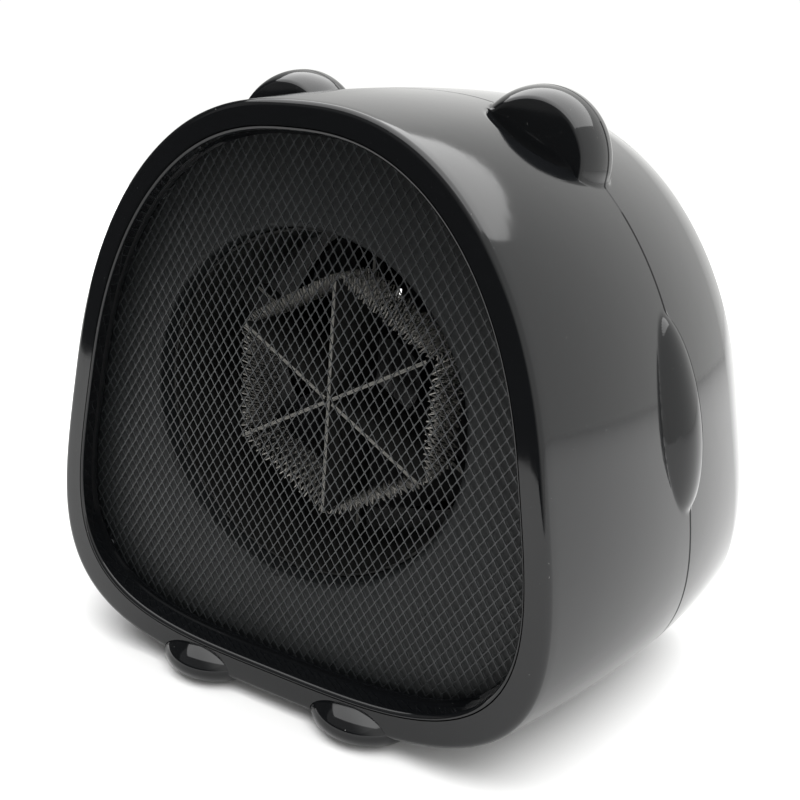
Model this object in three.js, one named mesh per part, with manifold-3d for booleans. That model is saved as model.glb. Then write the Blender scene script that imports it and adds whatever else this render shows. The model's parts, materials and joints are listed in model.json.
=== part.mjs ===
// A small bear-shaped fan heater: glossy two-part casing, mesh outlet, wire element on
// crossed boards, axial fan and motor. Millimetres, +Z up, the outlet faces -Y.
import * as THREE from "three";
import { mergeVertices } from "three/addons/utils/BufferGeometryUtils.js";
import Module from "manifold-3d";

const wasm = await Module();
wasm.setup();

// ---- driving dimensions -------------------------------------------------------------
const GAP = 0.3; // clearance between pieces that touch
const TOTAL_DEPTH = 128; // nose of the front feet to the end of the cord gland
const FOOT_NOSE = 4.1; // the front feet stand this far ahead of the face
const AXIS_Z = 69.6; // height of the fan's axis above the floor
const FACE_Y = -TOTAL_DEPTH / 2 + FOOT_NOSE;
const BODY_DEPTH = 118;
const PARTING = 50.4; // depth of the joint between the two casings
const WALL = 2.4;

// The front outline: half width at the axis, how fast it narrows upwards, half heights.
const HALF_WIDTH = 58.8;
const TAPER = 0.187;
const HALF_TOP = 64.2;
const HALF_BOTTOM = 66.2;
const TOP_POWER = 2.53;
const BOTTOM_POWER = 3.45;

// How the outline grows behind the face, and how the back closes.
const SWELL_DEPTH = 104;
const SWELL_WIDTH = 0.335;
const SWELL_TOP = 0.1;
const SWELL_BOTTOM = 0.02;
const DOME_START = 80;
const DOME_POWER = 3;
const AROUND = 48; // points round the outline

const BEZEL = 6.3; // width of the front frame
const LOW_INSET = 1.2; // the frame is this much wider along the bottom
const LEDGE = 0.6; // the step that frames the mesh at the back of the recess
const FLANGE_DEPTH = 5.9; // depth of the recess in front of the mesh
const MESH_DEPTH = FLANGE_DEPTH + GAP;
const MESH_THICK = 0.8;
const PLATE_DEPTH = MESH_DEPTH + MESH_THICK + GAP;
const PLATE_THICK = 1.2;
const DUCT_RADIUS = 39.4;
const DUCT_WALL = 1.6;
const DUCT_END = 60;
const DUCT_FLANGE_RADIUS = 47;

const ELEMENT_DEPTH = 19.1;
const BOARD_RADIUS = 27.4;
const BOARD_DEPTH = 21;
const BOARD_THICK = 0.8;
const WIRE_RADIUS = 28.5;
const WIRE_THICK = 0.9;
const WIRE_TURNS = 7;
const WIRE_PITCH = 2.1;

const FAN_DEPTH = 45;
const FAN_RADIUS = 35.8;
const FAN_WIDTH = 12;
const BLADES = 7;
const SHAFT_RADIUS = 1;
const MOTOR_RADIUS = 13.8;
const MOTOR_DEPTH = 61.8;
const MOTOR_LENGTH = 22.4;

const EAR = { x: 31.6, z: 55, depth: 52.4, rx: 16.3, rz: 16.8, front: 18, rear: 9, wall: 41.6 };
const EAR_DISH = { x: 34.5, z: 64.1, rx: 16.5, normal: 6.2, front: 13.5, tilt: 0.5 };
const ARM = { z: 4, half: 24, crest: 3.6, thick: 8, front: 10.5, rear: 3, tilt: 0.27 };
const FRONT_FOOT = { x: 21.2, depth: 9.4, z: 4.4, rx: 13.4, ry: 13.5, rz: 6.3 };
const REAR_FOOT = { x: 40, depth: 86, radius: 7, height: 2 };
const CASE_SCREWS = [
  [-48.5, 41],
  [48.5, 41],
  [-68, -46],
  [68, -46],
];
const SWITCH = { x: 0, z: -46, width: 20.4, height: 12.8, seat: 110.6, wide: 23, tall: 15.4 };
const GLAND = { x: 34, z: -47, radius: 4.6, bore: 2.7, flange: 7, seat: 109.4 };

// ---- materials ----------------------------------------------------------------------
const finish = (color, roughness, metalness) => ({ color, roughness, metalness });
const FINISHES = {
  gloss_black: finish(0x0b0b0d, 0.12, 0),
  mesh: finish(0x3a3c40, 0.45, 0.8),
  duct: finish(0x2a2e36, 0.6, 0.3),
  board: finish(0xb9b4a4, 0.8, 0),
  mica: finish(0x9c8d6b, 0.7, 0),
  wire: finish(0x8b8880, 0.4, 0.9),
  fan: finish(0x1c1c1e, 0.5, 0),
  steel: finish(0x9a9da1, 0.35, 1),
  zinc: finish(0xb4b6b8, 0.4, 1),
  brass: finish(0xb08d4a, 0.35, 1),
  rubber: finish(0x151515, 0.9, 0),
  switch_black: finish(0x141414, 0.5, 0),
  nylon: finish(0xd8d6cc, 0.55, 0),
  circuit: finish(0x2f5f3a, 0.6, 0),
  lead_brown: finish(0x5b3a22, 0.5, 0),
  lead_blue: finish(0x27457a, 0.5, 0),
  lead_white: finish(0xcfcfc8, 0.5, 0),
};

const heater = new THREE.Group();

// ---- solid helpers ------------------------------------------------------------------
const depthY = (depth) => FACE_Y + depth;

function toSolid(geometry) {
  const bare = geometry.index ? geometry.toNonIndexed() : geometry.clone();
  bare.deleteAttribute("normal");
  bare.deleteAttribute("uv");
  const merged = mergeVertices(bare, 1e-4);
  return new wasm.Manifold(
    new wasm.Mesh({
      numProp: 3,
      vertProperties: merged.attributes.position.array,
      triVerts: new Uint32Array(merged.index.array),
    }),
  );
}

function toGeometry(solid) {
  const mesh = solid.getMesh();
  const positions = new Float32Array(mesh.numVert * 3);
  for (let i = 0; i < mesh.numVert; i++) {
    positions.set(mesh.vertProperties.subarray(i * mesh.numProp, i * mesh.numProp + 3), i * 3);
  }
  const geometry = new THREE.BufferGeometry();
  geometry.setAttribute("position", new THREE.BufferAttribute(positions, 3));
  geometry.setIndex(new THREE.BufferAttribute(new Uint32Array(mesh.triVerts), 1));
  return geometry;
}

function addPart(name, shape, finishName) {
  const geometry = shape.isBufferGeometry ? shape : toGeometry(shape);
  geometry.deleteAttribute("normal");
  geometry.computeVertexNormals();
  const mesh = new THREE.Mesh(geometry, new THREE.MeshStandardMaterial(FINISHES[finishName]));
  mesh.name = name;
  heater.add(mesh);
}

// A closed solid from rings of points; a ring of one point is a pole. With loop true the
// last ring joins the first.
function ringSolid(rings, loop = false) {
  const vertices = [];
  const starts = rings.map((ring) => {
    const start = vertices.length / 3;
    ring.forEach((p) => vertices.push(...p));
    return start;
  });
  const faces = [];
  const count = rings.length;
  for (let r = 0; r < (loop ? count : count - 1); r++) {
    const a = rings[r];
    const b = rings[(r + 1) % count];
    const n = Math.max(a.length, b.length);
    for (let i = 0; i < n; i++) {
      const j = (i + 1) % n;
      const a0 = starts[r] + (i % a.length);
      const a1 = starts[r] + (j % a.length);
      const b0 = starts[(r + 1) % count] + (i % b.length);
      const b1 = starts[(r + 1) % count] + (j % b.length);
      if (a0 !== a1) faces.push(a0, a1, b1);
      if (b0 !== b1) faces.push(a0, b1, b0);
    }
  }
  const geometry = new THREE.BufferGeometry();
  geometry.setAttribute("position", new THREE.Float32BufferAttribute(vertices, 3));
  geometry.setIndex(faces);
  const solid = toSolid(geometry);
  if (solid.volume() > 0) return solid;
  for (let i = 0; i < faces.length; i += 3) {
    [faces[i + 1], faces[i + 2]] = [faces[i + 2], faces[i + 1]];
  }
  geometry.setIndex(faces);
  return toSolid(geometry);
}

// Boxes and round bars are placed by their middle in x and z, and by depth along Y.
function box(x, z, width, height, from, to) {
  const geometry = new THREE.BoxGeometry(width, to - from, height);
  return toSolid(geometry.translate(x, depthY((from + to) / 2), AXIS_Z + z));
}

function bar(x, z, radius, from, to, segments = 16) {
  const geometry = new THREE.CylinderGeometry(radius, radius, to - from, segments);
  return toSolid(geometry.translate(x, depthY((from + to) / 2), AXIS_Z + z));
}

function tube(x, z, outer, inner, from, to, segments = 16) {
  return bar(x, z, outer, from, to, segments).subtract(
    bar(x, z, inner, from - 1, to + 1, segments),
  );
}

// An ellipsoid with its own length ahead of and behind its middle, tilted in the x-z plane.
function egg({ x, z, depth, rx, rz, front, rear = front, tilt = 0, segments = 20 }) {
  const geometry = new THREE.SphereGeometry(1, segments, segments / 2);
  const p = geometry.attributes.position;
  for (let i = 0; i < p.count; i++) {
    const across = p.getX(i) * rx;
    const up = p.getZ(i) * rz;
    const along = p.getY(i) * (p.getY(i) < 0 ? front : rear);
    p.setXYZ(
      i,
      x + across * Math.cos(tilt) - up * Math.sin(tilt),
      depthY(depth) + along,
      AXIS_Z + z + across * Math.sin(tilt) + up * Math.cos(tilt),
    );
  }
  return toSolid(geometry);
}

// A flat plate whose outline lies in the x-z plane.
function plate(points, from, to, holes = []) {
  const shape = new THREE.Shape(points.map(([x, z]) => new THREE.Vector2(x, z)));
  holes.forEach((hole) => shape.holes.push(hole));
  const geometry = new THREE.ExtrudeGeometry(shape, {
    depth: to - from,
    bevelEnabled: false,
    curveSegments: 12,
  });
  geometry.rotateX(Math.PI / 2);
  return toSolid(geometry.translate(0, depthY(to), AXIS_Z));
}

function roundHole(x, z, radius, clockwise = true) {
  return new THREE.Path().absarc(x, z, radius, 0, Math.PI * 2, clockwise);
}

function unite(first, ...others) {
  return others.reduce((whole, piece) => whole.add(piece), first);
}

// ---- body surface -------------------------------------------------------------------
// Half width and half heights of the body's outline at a depth behind the face.
function sectionAt(depth) {
  const t = Math.min(depth / SWELL_DEPTH, 1);
  const swell = 2 * t - t * t;
  const past = Math.max(depth - DOME_START, 0) / (BODY_DEPTH - DOME_START);
  const dome = Math.pow(Math.max(1 - Math.pow(past, DOME_POWER), 0), 1 / DOME_POWER);
  return {
    width: HALF_WIDTH * (1 + SWELL_WIDTH * swell) * dome,
    top: HALF_TOP * (1 + SWELL_TOP * swell) * dome,
    bottom: HALF_BOTTOM * (1 + SWELL_BOTTOM * swell) * dome,
  };
}

// A point of the outline at an angle, inset by a distance: [x, z] from the fan's axis.
function outlinePoint(section, angle, inset) {
  const c = Math.cos(angle);
  const s = Math.sin(angle);
  const power = s > 0 ? TOP_POWER : BOTTOM_POWER;
  const reach = s > 0 ? section.top : section.bottom;
  const lower = s > 0 ? inset : inset * LOW_INSET;
  const z = Math.sign(s) * Math.pow(Math.abs(s), 2 / power) * (reach - lower);
  const taper = TAPER * (section.width / HALF_WIDTH);
  const halfWidth = section.width - taper * z - inset;
  return [Math.sign(c) * Math.pow(Math.abs(c), 2 / power) * halfWidth, z];
}

function outline(section, inset) {
  return Array.from({ length: AROUND }, (_, i) =>
    outlinePoint(section, ((i + 0.5) * 2 * Math.PI) / AROUND, inset),
  );
}

function bodyRing(depth, inset, sectionDepth = depth) {
  const y = depthY(depth);
  return outline(sectionAt(sectionDepth), inset).map(([x, z]) => [x, y, AXIS_Z + z]);
}

// Depths from the parting line back to near the pole, closer together as the back rounds.
const REAR_DEPTHS = [64, 78, 90, 99, 106, 111.5, 115, 117, 117.8];

// The whole body as one solid, shrunk by an inset; it trims bosses to the shell.
function bodySolid(inset) {
  const front = [0, 12, 25, 38, PARTING].map((depth) => bodyRing(depth, inset));
  const rear = REAR_DEPTHS.map((depth) => bodyRing(Math.min(depth, BODY_DEPTH - inset), inset, depth));
  const frontPole = [[0, depthY(inset), AXIS_Z]];
  const rearPole = [[0, depthY(BODY_DEPTH - inset), AXIS_Z]];
  return ringSolid([frontPole, ...front, ...rear.slice(0, -1), rearPole]);
}

function frontShell() {
  const outer = [38, 25, 12, 2.4].map((depth) => [depth, 0]);
  const edge = [
    [1.1, 0.4],
    [0.4, 1.1],
    [0, 2.4],
  ];
  const lip = [
    [0, BEZEL - 1.6],
    [0.4, BEZEL - 0.5],
    [1.6, BEZEL],
  ];
  const recess = [
    [FLANGE_DEPTH - 0.8, BEZEL],
    [FLANGE_DEPTH - 0.8, BEZEL + LEDGE],
    [FLANGE_DEPTH, BEZEL + LEDGE],
    [FLANGE_DEPTH, BEZEL - 2],
    [2.6, BEZEL - 2],
    [2.6, WALL],
  ];
  const inner = [12, 25, 38].map((depth) => [depth, WALL]);
  const end = PARTING - GAP / 2;
  const profile = [[end, 0], ...outer, ...edge, ...lip, ...recess, ...inner, [end, WALL]];
  return ringSolid(
    profile.map(([depth, inset]) => bodyRing(depth, inset)),
    true,
  );
}

function rearShell() {
  const start = PARTING + GAP / 2;
  const outer = [start, ...REAR_DEPTHS].map((depth) => bodyRing(depth, 0));
  const shrink = (BODY_DEPTH - WALL - start) / (BODY_DEPTH - start);
  const inner = [start, ...REAR_DEPTHS]
    .map((depth) => bodyRing(start + (depth - start) * shrink, WALL, depth))
    .slice(0, -2);
  const outerPole = [[0, depthY(BODY_DEPTH), AXIS_Z]];
  const innerPole = [[0, depthY(BODY_DEPTH - WALL), AXIS_Z]];
  return ringSolid([outerPole, ...outer.reverse(), ...inner, innerPole]);
}

// ---- casing features ----------------------------------------------------------------
const halfSpace = (from, to) => box(0, 0, 300, 300, from, to);

function sideAt(depth, z) {
  const section = sectionAt(depth);
  const power = z > 0 ? TOP_POWER : BOTTOM_POWER;
  const reach = z > 0 ? section.top : section.bottom;
  const u = Math.min(Math.abs(z) / reach, 1);
  const taper = TAPER * (section.width / HALF_WIDTH);
  return (section.width - taper * z) * Math.pow(1 - Math.pow(u, power), 1 / power);
}

function earDome(side) {
  const { x, z, depth, rx, rz, front, rear } = EAR;
  return egg({ x: side * x, z, depth, rx, rz, front, rear, segments: 24 });
}

// The dish in front of an ear's wall. Grown by a wall's thickness, the same shape backs it
// inside the casing.
function earDish(side, grow = 0) {
  const { x, z, front, rx, normal, tilt } = EAR_DISH;
  const dish = egg({
    x: side * x,
    z,
    depth: EAR.wall,
    rx: rx + grow,
    rz: normal + grow,
    front: front + grow,
    tilt: -side * tilt,
  });
  return dish.intersect(halfSpace(0, EAR.wall + grow));
}

function armBump(side) {
  const { z, half, crest, thick, front, rear, tilt } = ARM;
  const x = side * (sideAt(PARTING, z) + crest - thick);
  return egg({ x, z, depth: PARTING, rx: thick, rz: half, front, rear, tilt: side * tilt });
}

function withEarsAndArms(shell, from, to) {
  const earRoom = halfSpace(Math.max(from, EAR.wall), to);
  const armRoom = halfSpace(from, to);
  return [-1, 1].reduce((casing, side) => {
    const ear = earDome(side).intersect(earRoom).subtract(bodyInside);
    const arm = armBump(side).intersect(armRoom).subtract(bodyInside);
    return casing.add(ear).add(arm);
  }, shell);
}

const bodyInside = bodySolid(WALL - 0.4);
const bodyOuter = bodySolid(0.4);

// Where the duct's screws go, on the frame behind the bezel.
const DUCT_SCREWS = [40, 140, -40, -140].map((degrees) =>
  outlinePoint(sectionAt(4), THREE.MathUtils.degToRad(degrees), 4.6),
);

// Behind this depth a front foot is only as deep as the casing's wall.
const FOOT_BACK = 2.9;

function frontCasing() {
  let casing = withEarsAndArms(frontShell(), 0, PARTING - GAP / 2);
  for (const [x, z] of CASE_SCREWS) {
    const post = bar(x, z, 4.2, 38, PARTING - GAP / 2).intersect(bodyOuter);
    casing = casing.add(post).subtract(bar(x, z, 1.8, 40, PARTING + 1, 12));
  }
  const opening = plate(outline(sectionAt(3), BEZEL), -1, FLANGE_DEPTH + 1);
  for (const [x, z] of DUCT_SCREWS) {
    const block = bar(x, z, 4, 1.6, FLANGE_DEPTH, 12).intersect(bodyOuter).subtract(opening);
    casing = casing.add(block).subtract(bar(x, z, 1.5, 2.6, FLANGE_DEPTH + 1, 12));
  }
  for (const side of [-1, 1]) {
    const backing = earDish(side, 2).intersect(bodyOuter);
    const room = halfSpace(0, PARTING - GAP / 2);
    casing = casing.add(backing.intersect(room)).subtract(earDish(side));
    const kept = plate(outline(sectionAt(6), WALL + GAP), FOOT_BACK + GAP, 40);
    casing = casing.subtract(frontFootSolid(side, GAP).subtract(kept));
  }
  return casing;
}

function frontFootSolid(side, grow) {
  const { x, depth, z, rx, ry, rz } = FRONT_FOOT;
  return egg({
    x: side * x,
    z: z - AXIS_Z,
    depth,
    rx: rx + grow,
    rz: rz + grow,
    front: ry + grow,
  });
}

// The feet are hollow-backed plugs: the part inside the casing's wall is cut away.
function frontFoot(side) {
  const { x, depth } = FRONT_FOOT;
  const under = box(side * x, -AXIS_Z - 10, 60, 20, depth - 30, depth + 30);
  const channel = plate(outline(sectionAt(6), WALL), FOOT_BACK, 40);
  return frontFootSolid(side, 0).subtract(under).subtract(channel);
}

function flatSeat(casing, x, z, width, height, seat) {
  const block = box(x, z, width + 4, height + 4, seat - WALL, BODY_DEPTH).intersect(bodyOuter);
  return casing.add(block).subtract(box(x, z, width, height, seat, BODY_DEPTH + 5));
}

const SLOT_PITCH = 7;
const SLOT_HEIGHT = 3.2;
const SLOT_RADIUS = 35;

function rearCasing() {
  const start = PARTING + GAP / 2;
  let casing = withEarsAndArms(rearShell(), start, BODY_DEPTH);
  const inside = bodySolid(0.6);
  for (const [x, z] of CASE_SCREWS) {
    const post = bar(x, z, 4.4, start, BODY_DEPTH).intersect(inside);
    casing = casing.add(post).subtract(bar(x, z, 3.1, start + 5, BODY_DEPTH + 5));
    casing = casing.subtract(bar(x, z, 1.8, start - 1, start + 6, 12));
  }
  for (let row = -4; row <= 4; row++) {
    const z = row * SLOT_PITCH;
    const half = Math.sqrt(SLOT_RADIUS ** 2 - z ** 2);
    casing = casing.subtract(box(-half / 2 - 1.2, z, half, SLOT_HEIGHT, 104, 125));
    casing = casing.subtract(box(half / 2 + 1.2, z, half, SLOT_HEIGHT, 104, 125));
  }
  const { wide, tall, width, height } = SWITCH;
  casing = flatSeat(casing, SWITCH.x, SWITCH.z, wide + 1, tall + 1, SWITCH.seat);
  casing = casing.subtract(
    box(SWITCH.x, SWITCH.z, width + 2 * GAP, height + 2 * GAP, 90, SWITCH.seat + 1),
  );
  const across = 2 * GLAND.flange + 1.4;
  casing = flatSeat(casing, GLAND.x, GLAND.z, across, across, GLAND.seat);
  casing = casing.subtract(bar(GLAND.x, GLAND.z, GLAND.radius + GAP, 90, GLAND.seat + 1, 20));
  for (const side of [-1, 1]) {
    const z = REAR_FOOT.height - AXIS_Z + GAP;
    const boss = standing(side * REAR_FOOT.x, REAR_FOOT.depth, z, z + 8, REAR_FOOT.radius + 1);
    casing = casing.add(boss.subtract(bodyInside));
  }
  return casing;
}

// A round bar that stands upright.
function standing(x, depth, from, to, radius, segments = 20) {
  const geometry = new THREE.CylinderGeometry(radius, radius, to - from, segments);
  geometry.rotateX(Math.PI / 2);
  return toSolid(geometry.translate(x, depthY(depth), AXIS_Z + (from + to) / 2));
}

// ---- outlet -------------------------------------------------------------------------
function meshGrille() {
  const holes = DUCT_SCREWS.map(([x, z]) => roundHole(x, z, 1.6));
  const edge = outline(sectionAt(MESH_DEPTH), WALL + GAP);
  return plate(edge, MESH_DEPTH, MESH_DEPTH + MESH_THICK, holes);
}

function outletDuct() {
  const holes = DUCT_SCREWS.map(([x, z]) => roundHole(x, z, 1.6));
  const edge = outline(sectionAt(PLATE_DEPTH), WALL + GAP);
  const face = plate(edge, PLATE_DEPTH, PLATE_DEPTH + PLATE_THICK, holes);
  const outer = DUCT_RADIUS + DUCT_WALL;
  const sleeve = bar(0, 0, outer, PLATE_DEPTH, DUCT_END, 48);
  const flange = bar(0, 0, DUCT_FLANGE_RADIUS, DUCT_END - 1.2, DUCT_END, 48);
  const bore = bar(0, 0, DUCT_RADIUS, 0, DUCT_END + 5, 48);
  let duct = face.add(sleeve).add(flange).subtract(bore);
  for (const [x, z] of bracketScrewPlaces()) {
    duct = duct.subtract(bar(x, z, 1.5, DUCT_END - 3, DUCT_END + 1, 12));
  }
  return duct;
}

// ---- element ------------------------------------------------------------------------
// Each board is a flat outline in (distance across, depth), turned about the fan's axis.
// The three share the middle in three steps, so that they slide into one another.
function board(order, angle) {
  const front = ELEMENT_DEPTH;
  const back = ELEMENT_DEPTH + BOARD_DEPTH;
  const step = BOARD_DEPTH / 3;
  const tab = DUCT_RADIUS - 1.2;
  const tabDepth = back - 4;
  const slot = 1.1;
  const shape = new THREE.Shape();
  shape.moveTo(-BOARD_RADIUS, front);
  shape.lineTo(-slot, front);
  if (order > 0) {
    shape.lineTo(-slot, front + order * step + GAP / 2);
    shape.lineTo(slot, front + order * step + GAP / 2);
  }
  shape.lineTo(slot, front);
  shape.lineTo(BOARD_RADIUS, front);
  shape.lineTo(BOARD_RADIUS, tabDepth);
  shape.lineTo(tab, tabDepth);
  shape.lineTo(tab, back);
  shape.lineTo(slot, back);
  if (order < 2) {
    shape.lineTo(slot, front + (order + 1) * step - GAP / 2);
    shape.lineTo(-slot, front + (order + 1) * step - GAP / 2);
  }
  shape.lineTo(-slot, back);
  shape.lineTo(-tab, back);
  shape.lineTo(-tab, tabDepth);
  shape.lineTo(-BOARD_RADIUS, tabDepth);
  const geometry = new THREE.ExtrudeGeometry(shape, { depth: BOARD_THICK, bevelEnabled: false });
  geometry.translate(0, FACE_Y, -BOARD_THICK / 2).rotateY(-angle).translate(0, 0, AXIS_Z);
  return toSolid(geometry);
}

// The wire runs round the board tips as a hexagonal helix.
class HexHelix extends THREE.Curve {
  getPoint(t, target = new THREE.Vector3()) {
    const corner = t * WIRE_TURNS * 6;
    const last = Math.min(Math.floor(corner), WIRE_TURNS * 6 - 1);
    const share = corner - last;
    const at = (k) => {
      const angle = THREE.MathUtils.degToRad(30 + 60 * k);
      return [WIRE_RADIUS * Math.cos(angle), WIRE_RADIUS * Math.sin(angle)];
    };
    const [x0, z0] = at(last);
    const [x1, z1] = at(last + 1);
    const depth = ELEMENT_DEPTH + 1.4 + (corner / 6) * WIRE_PITCH;
    const x = x0 + (x1 - x0) * share;
    const z = z0 + (z1 - z0) * share;
    return target.set(x, depthY(depth), AXIS_Z + z);
  }
}

function roundShape(radius, sides) {
  const corners = Array.from({ length: sides }, (_, i) => {
    const angle = (i * 2 * Math.PI) / sides;
    return new THREE.Vector2(radius * Math.cos(angle), radius * Math.sin(angle));
  });
  return new THREE.Shape(corners);
}

function heatingWire() {
  const geometry = new THREE.ExtrudeGeometry(roundShape(WIRE_THICK / 2, 5), {
    steps: WIRE_TURNS * 6,
    extrudePath: new HexHelix(),
    bevelEnabled: false,
  });
  return toSolid(geometry);
}

// ---- fan and motor ------------------------------------------------------------------
function blade(angle) {
  const stations = [8.5, 16, 26, FAN_RADIUS];
  const rings = stations.map((radius, k) => {
    const pitch = THREE.MathUtils.degToRad(48 - 7 * k);
    const chord = 9.5 + 3.8 * k;
    const corners = [
      [-chord / 2, -0.6],
      [chord / 2, -0.6],
      [chord / 2, 0.6],
      [-chord / 2, 0.6],
    ];
    return corners.map(([u, v]) => {
      const across = u * Math.cos(pitch) - v * Math.sin(pitch);
      const along = u * Math.sin(pitch) + v * Math.cos(pitch);
      const reach = Math.sqrt(Math.max(radius ** 2 - across ** 2, 1));
      const x = reach * Math.cos(angle) - across * Math.sin(angle);
      const z = reach * Math.sin(angle) + across * Math.cos(angle);
      return [x, depthY(FAN_DEPTH + FAN_WIDTH / 2 + along), AXIS_Z + z];
    });
  });
  const middle = (ring) => [0, 1, 2].map((k) => ring.reduce((sum, p) => sum + p[k], 0) / 4);
  return ringSolid([[middle(rings[0])], ...rings, [middle(rings.at(-1))]]);
}

function fanImpeller() {
  const hub = bar(0, 0, 10.5, FAN_DEPTH, FAN_DEPTH + FAN_WIDTH, 28);
  const blades = Array.from({ length: BLADES }, (_, i) => blade(((i + 0.5) * 2 * Math.PI) / BLADES));
  const bore = bar(0, 0, SHAFT_RADIUS + GAP, FAN_DEPTH - 1 + 3, FAN_DEPTH + FAN_WIDTH + 1, 12);
  return unite(hub, ...blades).subtract(bore);
}

function bracketScrewPlaces() {
  return [90, 210, 330].map((degrees) => {
    const angle = THREE.MathUtils.degToRad(degrees);
    return [44 * Math.cos(angle), 44 * Math.sin(angle)];
  });
}

const BRACKET_DEPTH = DUCT_END + GAP;
const MOTOR_SCREWS = [-1, 1].map((side) => [side * 9, 0]);

function motorBracket() {
  const disc = bar(0, 0, 16, BRACKET_DEPTH, BRACKET_DEPTH + 1.2, 28);
  const arms = bracketScrewPlaces().map(([x, z]) => {
    const length = 46;
    const arm = new THREE.BoxGeometry(length, 1.2, 7).translate(length / 2, 0, 0);
    arm.rotateY(-Math.atan2(z, x)).translate(0, depthY(BRACKET_DEPTH + 0.6), AXIS_Z);
    return toSolid(arm);
  });
  let bracket = unite(disc, ...arms).subtract(bar(0, 0, 4.5, 55, 65, 20));
  for (const [x, z] of [...bracketScrewPlaces(), ...MOTOR_SCREWS]) {
    bracket = bracket.subtract(bar(x, z, 1.5, 55, 65, 12));
  }
  return bracket;
}

function motorCan() {
  const end = MOTOR_DEPTH + MOTOR_LENGTH;
  const shell = bar(0, 0, MOTOR_RADIUS, MOTOR_DEPTH, end, 32);
  const hollow = bar(0, 0, MOTOR_RADIUS - 1.2, MOTOR_DEPTH + 1.4, end + 1, 32);
  const hole = bar(0, 0, 3.2, MOTOR_DEPTH - 1, MOTOR_DEPTH + 3, 20);
  const taps = MOTOR_SCREWS.map(([x, z]) => bar(x, z, 1.5, MOTOR_DEPTH - 1, MOTOR_DEPTH + 3, 12));
  return shell.subtract(hollow).subtract(unite(hole, ...taps));
}

function motorEndCap() {
  const from = MOTOR_DEPTH + MOTOR_LENGTH + GAP;
  const cap = bar(0, 0, MOTOR_RADIUS, from, from + 2.4, 32).add(bar(0, 0, 5, from, from + 4, 20));
  return cap.subtract(bar(0, 0, 3.2, from - 1, from + 5, 20));
}

// ---- screws -------------------------------------------------------------------------
// A pan-head screw along Y: the head sits behind its seat and the shank points forward.
function screw(x, z, seat, shank, length, head, headHeight) {
  const rod = bar(x, z, shank, seat - length, seat + headHeight / 2, 10);
  const cap = bar(x, z, head, seat + GAP, seat + GAP + headHeight, 16);
  const slot = box(x, z, head * 1.5, 0.6, seat + GAP + headHeight * 0.5, seat + 9);
  return rod.add(cap).subtract(slot);
}

// ---- switch -------------------------------------------------------------------------
const ROCKER_PIVOT = SWITCH.seat - 1.4;
const ROCKER_REACH = 8.2;

function rockerBody() {
  const { x, z, width, height, wide, tall, seat } = SWITCH;
  const flange = box(x, z, wide, tall, seat + GAP, seat + GAP + 1.6);
  const barrel = box(x, z, width, height, seat - 13, seat + 1);
  const well = box(x, z, 2 * ROCKER_REACH + 1, height - 3, ROCKER_PIVOT - 6, seat + 5);
  const blades = [-6, 6].map((across) => box(x + across, z, 0.8, 4.8, seat - 20, seat - 12));
  return unite(flange.add(barrel).subtract(well), ...blades);
}

// The rocker is a slice of a round bar about its pivot, with a shallow vee on top.
function rocker() {
  const shape = new THREE.Shape();
  const low = THREE.MathUtils.degToRad(-22);
  const high = THREE.MathUtils.degToRad(32);
  shape.moveTo(0, -3.4);
  shape.lineTo(ROCKER_REACH * Math.cos(low), ROCKER_REACH * Math.sin(low));
  shape.absarc(0, 0, ROCKER_REACH, low, high, false);
  shape.lineTo(0, 3.4);
  shape.absarc(0, 0, ROCKER_REACH, Math.PI - high, Math.PI - low, false);
  const tall = SWITCH.height - 4.2;
  const geometry = new THREE.ExtrudeGeometry(shape, {
    depth: tall,
    bevelEnabled: false,
    curveSegments: 8,
  });
  geometry.translate(0, 0, -tall / 2).rotateZ(THREE.MathUtils.degToRad(-10));
  return toSolid(geometry.translate(SWITCH.x, depthY(ROCKER_PIVOT), AXIS_Z + SWITCH.z));
}

// ---- electrical pieces --------------------------------------------------------------
function cordGland() {
  const { x, z, radius, bore, flange, seat } = GLAND;
  const end = TOTAL_DEPTH - FOOT_NOSE;
  const neck = bar(x, z, radius, 98, end - 6, 20);
  const collar = bar(x, z, flange, seat + GAP, seat + 3, 24);
  const nose = toSolid(
    new THREE.CylinderGeometry(radius - 0.6, radius, 6, 20).translate(
      x,
      depthY(end - 3),
      AXIS_Z + z,
    ),
  );
  return unite(neck, collar, nose).subtract(bar(x, z, bore, 90, 130, 16));
}

const TILT = { x: -34, z: -62.6, depth: 70, size: 13, height: 15, bore: 4.2, ball: 3.8 };

function tiltHousing() {
  const { x, z, depth, size, height, bore } = TILT;
  const half = size / 2;
  const body = box(x, z + height / 2, size, height, depth - half, depth + half);
  return body.subtract(standing(x, depth, z + 3, z + height + 1, bore));
}

function tiltCap() {
  const { x, z, depth, size, height } = TILT;
  const from = z + height + GAP;
  return box(x, from + 1, size, 2, depth - size / 2, depth + size / 2);
}

function tiltBall() {
  const { x, z, depth, ball } = TILT;
  return egg({ x, z: z + 3 + GAP + ball, depth, rx: ball, rz: ball, front: ball, segments: 16 });
}

const PCB = { x: 20, z: -61.4, depth: 72, width: 44, length: 30 };

function circuitBoard() {
  const { x, z, depth, width, length } = PCB;
  return box(x, z, width, 1.6, depth - length / 2, depth + length / 2);
}

// A lead is a smooth tube through hand-picked places, each [x, depth, z].
function lead(places, radius = 0.9) {
  const points = places.map(([x, depth, z]) => new THREE.Vector3(x, depthY(depth), AXIS_Z + z));
  const path = new THREE.CatmullRomCurve3(points, false, "centripetal");
  const geometry = new THREE.ExtrudeGeometry(roundShape(radius, 6), {
    steps: Math.min(Math.ceil(path.getLength() / (3 * radius)), 30),
    extrudePath: path,
    bevelEnabled: false,
  });
  return toSolid(geometry);
}

// ---- assembly -----------------------------------------------------------------------
addPart("front_casing", frontCasing(), "gloss_black");
addPart("rear_casing", rearCasing(), "gloss_black");
addPart("mesh_grille", meshGrille(), "mesh");
addPart("outlet_duct", outletDuct(), "duct");

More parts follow.
